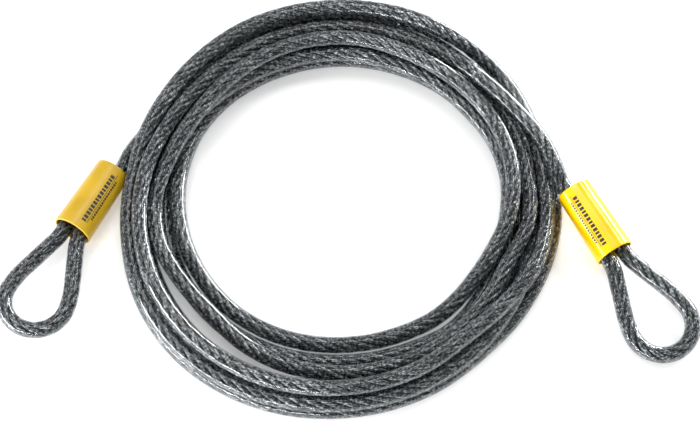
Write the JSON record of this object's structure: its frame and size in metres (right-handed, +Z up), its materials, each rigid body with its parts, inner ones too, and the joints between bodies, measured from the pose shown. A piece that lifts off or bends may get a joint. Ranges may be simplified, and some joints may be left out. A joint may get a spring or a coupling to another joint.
{
  "type": "looped security cable",
  "caption": "Coiled steel rope in a clear jacket, with a crimped loop and a yellow sleeve at each end.",
  "frame": {"origin": "on the floor, under the middle of the object's bounding box", "axes": "+Z up, square to the floor that the coil lies on; +X from the left end loop to the right one; +Y away from the loops' side of the coil"},
  "size_m": [0.4086, 0.26, 0.0276],
  "materials": {
    "cable": "smoky clear vinyl over stranded steel, as one solid",
    "jacket": "clear glossy vinyl, slightly smoky",
    "steel": "bright drawn wire, lightly oiled",
    "ferrule": "pressed, satin",
    "sleeve": "glossy yellow vinyl with a plain black print"
  },
  "bodies": {
    "root": {"cable_coil": "cable", "cable_tail_left": "cable", "cable_tail_right": "cable", "loop_jacket_left": "jacket", "loop_jacket_right": "jacket", "core_strand_left": "steel", "core_strand_right": "steel", "outer_strands_left": "steel", "outer_strands_right": "steel", "ferrule_left": "ferrule", "ferrule_right": "ferrule", "sleeve_left": "sleeve", "sleeve_right": "sleeve"}
  },
  "joints": []
}
